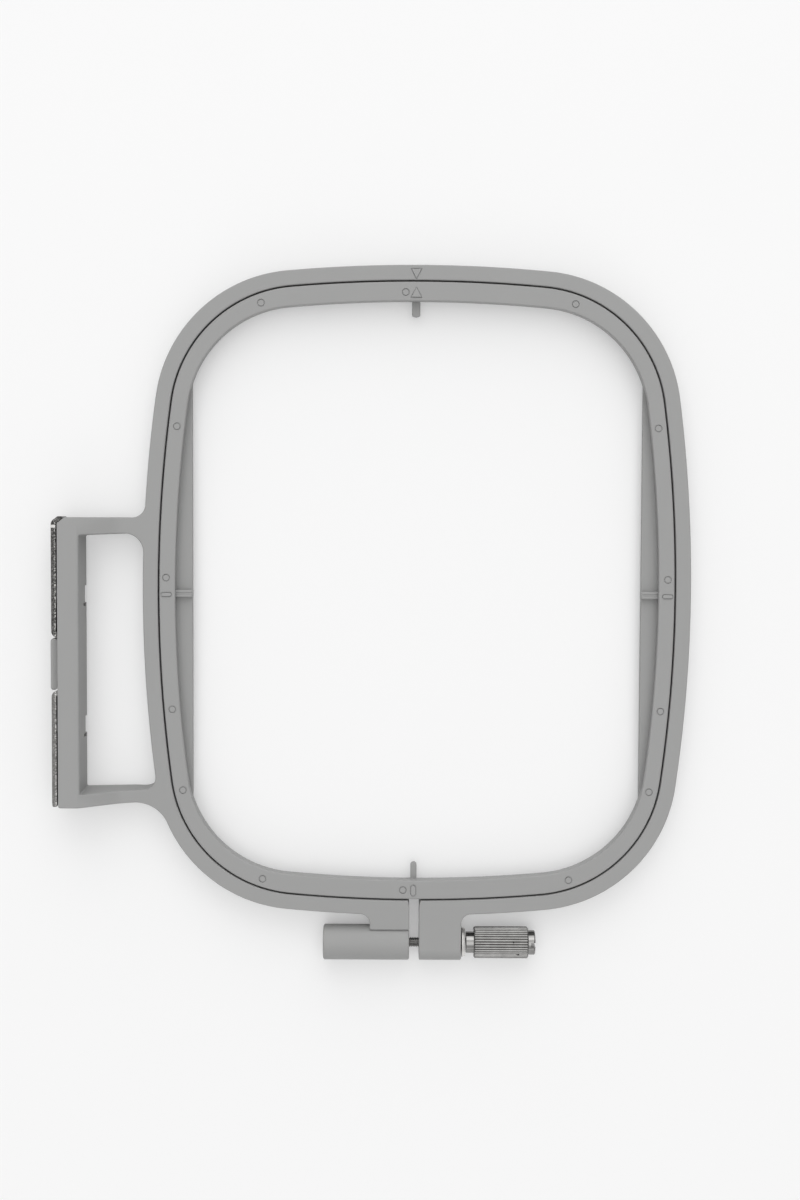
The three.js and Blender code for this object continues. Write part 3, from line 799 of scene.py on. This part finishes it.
def webStep():  # the web's top ends in a step just before the boss
    path = boxPath(webFace - over, screwY, leftLip + over, clamp["webEdge"])
    return prism("webStep", path, ringTop - clamp["webStep"], ringTop + over)


def centreBlock():  # its top falls a little towards the bar
    face = frameLow.x
    back = barOuter + bar["relief"] + over
    bottom = barBottom + bar["blockBottomRise"]
    top = barTop - bar["blockTopDrop"]
    profile = [
        (face, bottom), (back, bottom), (back, top - bar["blockTopFall"]),
        (barOuter, top - bar["blockTopFall"]), (face, top),
    ]
    block = prismAlongY("centreBlock", profile, blockLower, blockUpper)
    roundAll(block, bar["blockRound"])
    return block


def springReliefs():
    bottom = springLow - bar["springRoom"]
    top = springTop + bar["springRoom"]
    far = frameLow.x - over
    depth = bar["relief"]
    face = barOuter + depth
    upper = [
        (far, blockUpper), (face, blockUpper),
        (face, bracketTop - bar["leadY"] - depth / 2),
        (barOuter + bar["leadX"] + 2 * depth, bracketTop + over), (far, bracketTop + over),
    ]
    lower = boxPath(far, bracketLow - over, face, blockLower)
    return [prism("springRelief", path, bottom, top) for path in (upper, lower)]


def barCut(name, start, low, high, bottom, top):  # a box cut from the bar's inner side
    return prism(name, boxPath(start, low, barInner + over, high), bottom, top)


def pinNotches():
    roof = barBottom + bar["pinNotchHeight"]
    pocket = slopeStart - bar["pocketDepth"]
    bottom = barBottom + bar["pocketBottom"]
    top = barBottom + bar["pocketTop"]
    cuts = []
    for side in (-1, 1):
        y = bar["centre"] + side * bar["pinSpacing"] / 2
        low, high = span(y, bar["pinNotchWidth"])
        step = low + bar["pocketWidth"]
        wall = step + bar["pocketWall"]
        cuts.append(barCut("pinNotch", barOuter - over, wall, high, barBottom - over, roof))
        cuts.append(barCut("pinPocket", pocket, low, step, bottom, top))
    return cuts


def clampBores():
    seat = insertHigh.y - insertLow.y + 2 * clamp["insertRoom"]
    return [
        rod("screwBore", bossFace + clamp["bossEndWall"], lugFace + over, clamp["bore"]),
        rod("insertSeat", insertLow.x - clamp["seatRoom"], clamp["splitPlace"], seat),
    ]


# Leaf springs: steel strips whose tails are bent into slots at the centre block's ends

spring = {
    "thickness": 1.2, "standOff": 0.7, "bend": 0.9, "bendSteps": 8, "rootGap": 1.1,
    "tail": 5.2, "tailAngle": 65, "slotRoom": 0.35,
    "upperLead": 2.5, "upperLeadDrop": 0.5, "upperEndRise": 0.2,
    "lowerLead": 1.1, "lowerLeadAngle": 5,
    "edge": 0.13, "tipRound": 0.35, "glint": 0.7, "glintDrop": 0.5,
}
springMiddle = barOuter - spring["standOff"] - spring["thickness"] / 2


def bentLine(points, radius):  # a line whose corners are arcs
    path = [tuple(points[0])]
    for before, point, after in zip(points, points[1:], points[2:]):
        back = (before - point).normalized()
        on = (after - point).normalized()
        half = math.acos(back.dot(on)) / 2
        centre = point + (back + on).normalized() * radius / math.sin(half)
        spread = quarter - half
        toCorner = math.atan2(point.y - centre.y, point.x - centre.x)
        way = 1 if back.cross(on) < 0 else -1
        start, end = toCorner - way * spread, toCorner + way * spread
        path.append(arc(centre.x, centre.y, radius, start, end, spring["bendSteps"]))
    return [*path, tuple(points[-1])]


def springLine(way):
    rootY = bar["blockCentre"] + way * (bar["blockLength"] / 2 + spring["rootGap"])
    turn = math.radians(spring["tailAngle"])
    root = Vector((springMiddle, rootY))
    tail = root + Vector((math.sin(turn), -way * math.cos(turn))) * spring["tail"]
    if way > 0:  # the upper end follows the bar's lead-in chamfer
        slant = Vector((bar["leadX"], bar["leadY"])).normalized()
        rise = (barOuter - springMiddle) * (1 - slant.y) / slant.x
        bendY = bracketTop - bar["leadY"] + rise - spring["upperLeadDrop"]
        bend = Vector((springMiddle, bendY))
        return [tail, root, bend, bend + slant * spring["upperLead"]]
    angle = math.radians(spring["lowerLeadAngle"])
    bend = Vector((springMiddle, bracketLow + spring["lowerLead"]))
    curl = Vector((math.sin(angle), -math.cos(angle)))
    return [tail, root, bend, bend + curl * spring["lowerLead"]]


def tailSlot(way):
    tail, root = springLine(way)[:2]
    room = spring["slotRoom"]
    along = (tail - root).normalized()
    across = Vector((-along.y, along.x)) * (spring["thickness"] / 2 + room)
    deep = tail + along * room
    path = [tuple(p) for p in (root - across, deep - across, deep + across, root + across)]
    return prism("tailSlot", path, springLow - room, springTop + room)


def leafSpring(name, way):
    line = springLine(way)
    glintTop = line[2].y - spring["glintDrop"]
    glintLow = glintTop - spring["glint"]
    piece = startPiece(name)
    drawPath(bentLine(line, spring["bend"]), springLow, closed=False)
    extrude(0, 0, springTop - springLow)
    closePiece()
    modify(piece, "SOLIDIFY", thickness=spring["thickness"], offset=0, use_even_offset=True)
    if way > 0:  # its upper end is cut level
        editMode()
        end = (0, bracketTop + spring["upperEndRise"], 0)
        cutAcross(end, (0, 1, 0), clear_outer=True, use_fill=True)
        for y in (glintTop, glintLow):
            cutAcross((0, y, 0), (0, 1, 0))
        closePiece()
    soft, tipSoft = spring["edge"], spring["tipRound"]
    atTip = lambda middle: abs(middle.y - line[3].y) < tipSoft and way < 0
    rounded = lambda middle, edge: tipSoft if atTip(middle) and not level(edge) else soft
    roundEdges(piece, rounded, tipSoft, segments=3)
    smooth(piece)
    for face in piece.data.polygons:  # painted shade (near-black steel) on the faces towards the bar, a painted glint below the upper bend
        onPaintedGlint = way > 0 and glintLow < face.center.y < glintTop
        if abs(face.normal.z) > facing:
            face.material_index = 3 if onPaintedGlint else 1
        # faces towards the bar get the painted shade
        elif face.normal.x > facing:
            face.material_index = 2
    return piece


# Moulded marks: raised signs where the rings line up, and the rings left by ejector pins

marks = {
    "rise": 0.3, "root": 0.4, "edge": 0.1, "moat": 0.17, "moatDepth": 0.22, "place": -0.48,
    "arrowWidth": 2.4, "arrowSpread": 1.5, "frameArrow": (78.1, 75.78), "ringArrow": (71.36, 73.72),
    "sideDash": (60.88, -0.6, 2.4, 0.85), "endDash": (-0.55, -72.89, 1.15, 2.5),
    "dashFlat": 0.02, "dashSteps": 5,
    "pinDiameter": 1.86, "pinGroove": 0.24, "pinDepth": 0.3,
    "pins": [(37.9, 69.83), (58.2, 40.1), (60.9, 3.5), (59.45, -28.6), (56.9, -48.4), (37.45, -70.18)],
    "endPins": [(-3.04, 72.54), (-3.08, -72.81)],
}


def raiseMark(mould, name, outline, *size):  # a raised sign in a thin sunk outline
    path = outline(*size, marks["moat"])
    moat = prism(name + "Moat", path, ringTop - marks["moatDepth"], ringTop + over)
    mark = prism(name, outline(*size, 0), ringTop - marks["root"], ringTop + marks["rise"])
    soft = marks["edge"]
    roundEdges(mark, lambda middle, edge: soft if middle.z > ringTop else 0, soft, segments=2)
    combine(mould, "DIFFERENCE", moat)
    combine(mould, "UNION", mark)


def arrowOutline(base, tip, grow):
    half = marks["arrowWidth"] / 2 + marks["arrowSpread"] * grow
    x = marks["place"]
    way = math.copysign(grow, tip - base)
    return [(x - half, base - way), (x, tip + way), (x + half, base - way)]


def dashOutline(x, y, width, length, grow):  # a bar with round ends
    soft = min(width, length) / 2 + grow - marks["dashFlat"]
    right, top = x + width / 2 + grow - soft, y + length / 2 + grow - soft
    left, low = 2 * x - right, 2 * y - top
    steps = marks["dashSteps"]
    corners = [(right, top), (left, top), (left, low), (right, low)]
    return [arc(*place, soft, k * quarter, (k + 1) * quarter, steps) for k, place in enumerate(corners)]


def pinGroove(x, y):  # the thin ring that an ejector pin leaves
    middle = (x, y, ringTop - marks["pinDepth"] + over / 2)
    groove = addShape("pinGroove", bpy.ops.mesh.primitive_cylinder_add, location=middle, vertices=40,
                      radius=marks["pinDiameter"] / 2, depth=over, end_fill_type="NGON")
    editMode()
    pick("FACE", lambda face: abs(face.normal.z) > facing)
    bpy.ops.mesh.inset(thickness=marks["pinGroove"], depth=0)
    bpy.ops.mesh.bridge_edge_loops()
    closePiece()
    return groove


def pinGrooves():
    sides = [(side * x, y) for x, y in marks["pins"] for side in (-1, 1)]
    return [pinGroove(x, y) for x, y in sides + marks["endPins"]]


frameMould = frameBody()
print("frame body shaped,", len(frameMould.data.polygons), "faces")
combine(frameMould, "DIFFERENCE", webStep())
combine(frameMould, "UNION", screwBoss(), centreBlock())
combine(frameMould, "DIFFERENCE", *springReliefs(), *pinNotches(), *clampBores())
combine(frameMould, "DIFFERENCE", tailSlot(1), tailSlot(-1))
raiseMark(frameMould, "frameArrow", arrowOutline, *marks["frameArrow"])
smooth(frameMould, degrees=32)
setPiece(frameMould, "outer_frame", "frame", "grey_plastic", plastic)

barSide = hoopCentre.x + (springMiddle + spring["thickness"] / 2) * mm
# the two sheared finishes are shaded and lit copies of one torn steel
shearedUpper = shearedSteel("shearedUpper", sheared["tornShadedUpper"], barSide)
shearedLower = shearedSteel("shearedLower", sheared["tornLitLower"], barSide)
upperSpring = leafSpring("upperSpring", 1)
setPiece(upperSpring, "upper_leaf_spring", "upper_spring", "spring_steel",
         steel, shearedUpper, paintedShadeSteel, paintedGlint)
lowerSpring = leafSpring("lowerSpring", -1)
setPiece(lowerSpring, "lower_leaf_spring", "lower_spring", "spring_steel",
         steel, shearedLower, paintedShadeSteel)


# Inner ring: a channel open below, with side ledges, locating ribs and end tabs

ring = {
    "top": 1.8, "wall": 1.6, "skirt": 1.2, "edgeRound": 0.4,
    "openingWidth": 109.75, "openingDraft": 0.35,
    "ledgeThickness": 1.2, "ledgeFall": 0.05, "ledgeRound": 0.3,
    "ribPlace": -0.42, "ribWidth": 1.8, "ribHeight": 1.8, "ribOverhang": 0.05,
    "ribRound": 0.3, "ribTipRound": 0.22, "ribGroove": 0.7, "ribGrooveDepth": 0.2,
    "tabPlace": -0.48, "topTab": (2.0, 3.5), "topTabPoint": 0.35, "bottomTab": (1.52, 3.8),
    "tabRound": 0.25, "skirtDepth": 4.8, "tilt": 0.02,
}
skirtLow = ringTop - ring["skirtDepth"]
ledgeTop = skirtLow + ring["ledgeThickness"]


def ringBody():
    piece = startPiece("fabricRing")
    wallInside = grown(rimOutline, -ring["wall"])
    skirtOutside = grown(opening, ring["skirt"])
    roof = ringTop - ring["top"]
    tilt = ring["tilt"]  # bridge runs true only between loops that aren't level with each other
    section = [
        ("rimTop", rimOutline, ringTop),
        ("rimLow", rimOutline, 0),
        ("wallLow", wallInside, tilt),
        ("wallRoof", wallInside, roof - tilt),
        ("skirtRoof", skirtOutside, roof),
        ("skirtLow", skirtOutside, skirtLow + tilt),
        ("openingLow", grown(opening, ring["openingDraft"]), skirtLow),
        ("openingTop", opening, ringTop - tilt),
    ]
    for name, outline, height in section:
        drawPath(hoopArcs(outline), height, group=name)
    names = [name for name, outline, height in section]
    for first, second in zip(names, names[1:] + names[:1]):
        bridge(first, second)
    closePiece()
    soft = ring["edgeRound"]
    atTop = lambda middle: middle.z > ringTop - ring["top"] / 2
    roundEdges(piece, lambda middle, edge: soft if atTop(middle) else soft / 2, soft)
    return piece


def sideLedges():
    edge = ring["openingWidth"] / 2
    back = opening["halfWidth"] + ring["skirt"]
    soft = ring["ledgeRound"]
    profile = [
        (edge, skirtLow), (back, skirtLow), (back, ledgeTop + ring["ledgeFall"]),
        arc(edge + soft, ledgeTop - soft, soft, quarter, halfTurn),
    ]
    half = opening["halfLength"]
    ledge = prismAlongY("sideLedge", profile, -half, half)
    keep = prism("ledgeKeep", hoopArcs(grown(opening, ring["skirt"] / 2)), 0, ringTop)
    return mirrored(combine(ledge, "INTERSECT", keep))


def ledgeRibs():
    low, high = span(ring["ribPlace"], ring["ribWidth"])
    grooveLow, grooveHigh = span(ring["ribPlace"], ring["ribGroove"])
    floorLow, floorHigh = span(ring["ribPlace"], ring["ribGroove"] / 2)
    top = ledgeTop + ring["ribHeight"]
    floor = top - ring["ribGrooveDepth"]
    soft = ring["ribRound"]
    profile = [
        (low, skirtLow), (high, skirtLow), arc(high - soft, top - soft, soft, 0, quarter),
        (grooveHigh, top), (floorHigh, floor), (floorLow, floor), (grooveLow, top),
        arc(low + soft, top - soft, soft, quarter, halfTurn),
    ]
    tip = ring["openingWidth"] / 2 - ring["ribOverhang"]
    rib = prismAlongX("ledgeRib", profile, tip, opening["halfWidth"] + ring["skirt"] / 2)
    atTip = lambda middle: middle.x < tip + touch and middle.z > skirtLow + touch
    tipSoft = ring["ribTipRound"]
    roundEdges(rib, lambda middle, edge: tipSoft if atTip(middle) else 0, tipSoft, segments=3)
    return mirrored(rib)


def endTabs():
    root = opening["halfLength"] + ring["skirt"] / 2
    x = ring["tabPlace"]
    width, length = ring["topTab"]
    left, right = span(x, width)
    tip = opening["halfLength"] - length
    edge = tip + ring["topTabPoint"]
    path = [(left, root), (left, edge), (x, tip), (right, edge), (right, root)]
    upper = prism("topTab", path, skirtLow, ledgeTop)
    width, length = ring["bottomTab"]
    left, right = span(x, width)
    tip = arc(x, length - opening["halfLength"] - width / 2, width / 2, 0, halfTurn)
    lower = prism("bottomTab", [(left, -root), (right, -root), tip], skirtLow, ledgeTop)
    for tab in (upper, lower):
        roundAll(tab, ring["tabRound"], segments=3)
    return [upper, lower]


ringMould = ringBody()
print("ring body shaped,", len(ringMould.data.polygons), "faces")
combine(ringMould, "UNION", sideLedges(), ledgeRibs(), *endTabs())
raiseMark(ringMould, "ringArrow", arrowOutline, *marks["ringArrow"])
raiseMark(ringMould, "endDash", dashOutline, *marks["endDash"])
dashX, *dashSize = marks["sideDash"]
for side in (-1, 1):
    raiseMark(ringMould, "sideDash", dashOutline, side * dashX, *dashSize)
combine(ringMould, "DIFFERENCE", *pinGrooves())
smooth(ringMould, degrees=32)
setPiece(ringMould, "inner_ring", "inner_ring", "grey_plastic", plastic)


# Clamp screw, with its washer and the threaded insert that it runs in

screw = {
    "threadDiameter": 2.5, "pitch": 0.45, "threadDepth": 0.27,
    "threadShares": (0.38, 0.5, 0.88),  # of the pitch, at the crest's start and end and the flank's foot
    "threadSteps": 28, "threadEntry": 0.5,
    "neckDiameter": 5.25, "neckLength": 1.9, "neckRound": 0.15, "seatGap": 0.2,
    "knurlLength": 13.45, "knurlTeeth": 36, "knurlDepth": 0.3, "knurlChamfer": 0.4,
    "chamferShares": ((0.4, 0.7), (0.6, 0.3)),  # of the chamfer's run and rise
    "capDiameter": 6, "capRound": 0.35, "slotWidth": 1.1, "slotDepth": 1.1,
}
neckFace = washerHigh.x + screw["seatGap"]
knurlFace = neckFace + screw["neckLength"]
capFace = knurlFace + screw["knurlLength"]
toothShape = (0, 0.03, 0.16, 0.62, 1, 0.62, 0.16, 0.03)  # share of the depth round one tooth


def knurledGrip():
    radius = (screwHigh.z - screwLow.z) / 2
    perTooth = len(toothShape)
    count = perTooth * screw["knurlTeeth"]
    centre = Vector((knurlFace, screwY, screwZ))
    piece = addShape("clampScrew", bpy.ops.mesh.primitive_circle_add, location=centre,
                     rotation=(0, quarter, 0), vertices=count, radius=radius, fill_type="NGON")
    resize = lambda by: bpy.ops.transform.resize(value=(1, by, by), center_override=centre)
    share = lambda vert: round(math.atan2(vert.co.z - screwZ, vert.co.y - screwY) / fullTurn * count)
    editMode()
    for k, depth in enumerate(toothShape):
        pick("VERT", lambda vert: share(vert) % perTooth == k)
        resize(1 - depth * screw["knurlDepth"] / radius)
    pickAll()
    chamfer = screw["knurlChamfer"]
    inset = 1 - chamfer / radius
    resize(inset)
    out = [(chamfer * run, inset ** -rise) for run, rise in screw["chamferShares"]]
    back = [(run, 1 / scale) for run, scale in reversed(out)]
    for run, scale in (*out, (screw["knurlLength"] - 2 * chamfer, 1), *back):
        extrude(run, 0, 0)
        resize(scale)
    closePiece()
    return piece


def slottedCap():
    radius = screw["capDiameter"] / 2
    soft = screw["capRound"]
    end = screwHigh.x
    cap = turned("slottedCap", [
        (capFace - over, 0), (capFace - over, radius),
        arc(end - soft, radius - soft, soft, quarter, 0), (end, 0),
    ])
    low, high = span(screwY, screw["slotWidth"])
    path = boxPath(end - screw["slotDepth"], low, end + over, high)
    slot = prism("capSlot", path, screwZ - radius - over, screwZ + radius + over)
    return combine(cap, "DIFFERENCE", slot)


def screwNeck():
    radius = screw["neckDiameter"] / 2
    soft = screw["neckRound"]
    return turned("screwNeck", [
        (neckFace, 0), arc(neckFace + soft, radius - soft, soft, halfTurn, quarter),
        (knurlFace + over, radius), (knurlFace + over, 0),
    ])


def screwThread():
    pitch = screw["pitch"]
    crest = screw["threadDiameter"] / 2
    root = crest - screw["threadDepth"]
    steps = screw["threadSteps"]
    turns = int((neckFace + screw["threadEntry"] - screwLow.x) / pitch) - 1
    rise, fall, low = (pitch * share for share in screw["threadShares"])
    piece = startPiece("screwThread")
    drawPath([(0, root), (rise, crest), (fall, crest), (low, root), (pitch, root)], 0, closed=False)
    bpy.ops.object.mode_set(mode="OBJECT")
    modify(piece, "SCREW", axis="X", angle=fullTurn, screw_offset=pitch, iterations=turns, steps=steps,
           render_steps=steps, use_merge_vertices=True, merge_threshold=0.0001)
    editMode()
    pickAll()
    bpy.ops.mesh.remove_doubles(threshold=touch)
    bpy.ops.mesh.fill_holes(sides=0)
    bpy.ops.transform.translate(value=(screwLow.x, screwY, screwZ))
    closePiece()
    return piece


clampScrew = knurledGrip()
combine(clampScrew, "UNION", slottedCap(), screwNeck())
thread = screwThread()
activate(clampScrew)
thread.select_set(True)
bpy.ops.object.join()
smooth(clampScrew, degrees=40)
setPiece(clampScrew, "clamp_screw", "screw", "nickel", nickel)

cone = {"rimDiameter": 6.6, "bore": 3.1, "edge": 0.12, "edgeSoft": 0.036, "edgeLap": 0.024}


def coneWasher():
    bore = cone["bore"] / 2
    wide = (washerHigh.z - washerLow.z) / 2
    narrow = cone["rimDiameter"] / 2
    edge, soft, lap = (cone[key] for key in ("edge", "edgeSoft", "edgeLap"))
    back, front = washerLow.x, washerHigh.x
    return turned("coneWasher", [
        (back, bore), (back, wide - edge), (back + soft, wide - soft), (back + edge, wide - lap),
        (front - edge, narrow + edge), (front - lap, narrow), (front, narrow - edge),
        (front, bore), (back, bore),
    ], steps=96)


washer = coneWasher()
smooth(washer)
setPiece(washer, "cone_washer", "washer", "nickel", nickelLitCopy)

nut = {"bore": 3.1, "groove": 0.35, "grooveLength": 1.6, "edge": 0.2}


def threadedInsert():
    bore = nut["bore"] / 2
    rim = (insertHigh.z - insertLow.z) / 2
    edge = nut["edge"]
    start, end = span((insertLow.x + insertHigh.x) / 2, nut["grooveLength"])
    low = rim - nut["groove"]
    back, front = insertLow.x, insertHigh.x
    return turned("threadedInsert", [
        (back, bore), (back, rim - edge), (back + edge, rim),
        (start, rim), (start, low), (end, low), (end, rim),
        (front - edge, rim), (front, rim - edge), (front, bore), (back, bore),
    ], steps=48)


insert = threadedInsert()
smooth(insert)
setPiece(insert, "threaded_insert", "frame", "brass", brass)


# Floor, light and camera

floorLook = {
    "size": 3.0, "drop": 0.0001, "cloud": (30, 3, 0.5),
    "paper": (0.9, 0.9, 0.9, 1), "paperLow": (0.891, 0.891, 0.891, 1),
    "bounce": (0.6, 0.6, 0.6, 1), "white": (0.98, 0.98, 0.98, 1), "share": 0.28,
}


def paleFloor():
    floor = addShape("paleFloor", bpy.ops.mesh.primitive_plane_add, size=floorLook["size"],
                     location=(0, 0, -floorLook["drop"]))
    look = newLook("palePaper")
    cloud = look.noise(look.place(), *floorLook["cloud"])
    rays = [look.add("LightPath", {}, f"Is {ray} Ray") for ray in ("Camera", "Glossy", "Transmission")]
    seen = rays[0] + rays[1] + rays[2]
    clouded = look.blend(cloud, floorLook["paperLow"], floorLook["paper"])
    colour = look.blend(seen, floorLook["bounce"], clouded)
    paper = look.add("BsdfDiffuse", {"Color": colour})
    white = look.add("Emission", {"Color": floorLook["white"], "Strength": 1.0})
    mixed = look.add("MixShader", {0: seen * floorLook["share"], 1: paper, 2: white})
    look.add("OutputMaterial", {"Surface": mixed})
    floor.data.materials.append(look.owner)


rig = {
    "dome": ((0.0, 0.85), (0.1, 0.85), (0.2, 0.35), (0.7, 0.52), (1.0, 0.52)),  # by height
    "stripAcross": ((0.0, 1.0), (0.06, 0.85), (0.3, 0.0)),  # by the square of the sideways reach
    "stripAlong": ((0.0, 0.3), (0.08, 0.7), (0.17, 0.15), (0.3, 0.35), (0.42, 1.1), (0.56, 1.1),
                   (0.7, 0.6), (0.8, 0.6), (0.88, 1.3), (0.96, 1.4), (1.0, 0.7)),
    "strip": 1.4,
    "panel": {"place": (0.0, 0.35, 0.45), "size": (0.5, 0.2), "power": 0.22},
}


def studioLight():  # a pale dome with a long soft strip from overhead to the hoop's upper end
    world = bpy.data.worlds.new("studio")
    bpy.context.scene.world = world
    look = Look(world)
    ray = look.place("Generated")
    x, y, z = [look.add("SeparateXYZ", {"Vector": ray}, axis) for axis in "XYZ"]
    across = look.ramp(x * x, *rig["stripAcross"])
    along = look.ramp(y * 0.5 + 0.5, *rig["stripAlong"])  # 0 at the clamp's end, 1 at the far end
    shade = look.ramp(z, *rig["dome"]) + across * along * rig["strip"]
    background = look.add("Background", {"Color": shade, "Strength": 1.0})
    look.add("OutputWorld", {"Surface": background})
    panel = rig["panel"]
    turn = (-Vector(panel["place"])).to_track_quat("-Z", "Y").to_euler()
    bpy.ops.object.light_add(type="AREA", location=panel["place"], rotation=turn)
    lamp = bpy.context.object.data
    lamp.shape = "RECTANGLE"
    lamp.size, lamp.size_y = panel["size"]
    lamp.energy = panel["power"]


view = {
    "place": (6.68, 23.93, 411.7), "tilt": 2.8, "roll": 0.263,
    "lens": 50, "sensor": 36, "near": 0.01,
}


def photoCamera():
    place = Vector(view["place"]) * mm
    turn = (-math.radians(view["tilt"]), 0, math.radians(view["roll"]))
    bpy.ops.object.camera_add(location=place, rotation=turn)
    camera = bpy.context.object
    camera.data.lens = view["lens"]
    camera.data.sensor_width = view["sensor"]
    camera.data.clip_start = view["near"]
    bpy.context.scene.camera = camera


paleFloor()
studioLight()
photoCamera()
bpy.context.scene.view_settings.view_transform = "Standard"
print("floor, light and camera set")
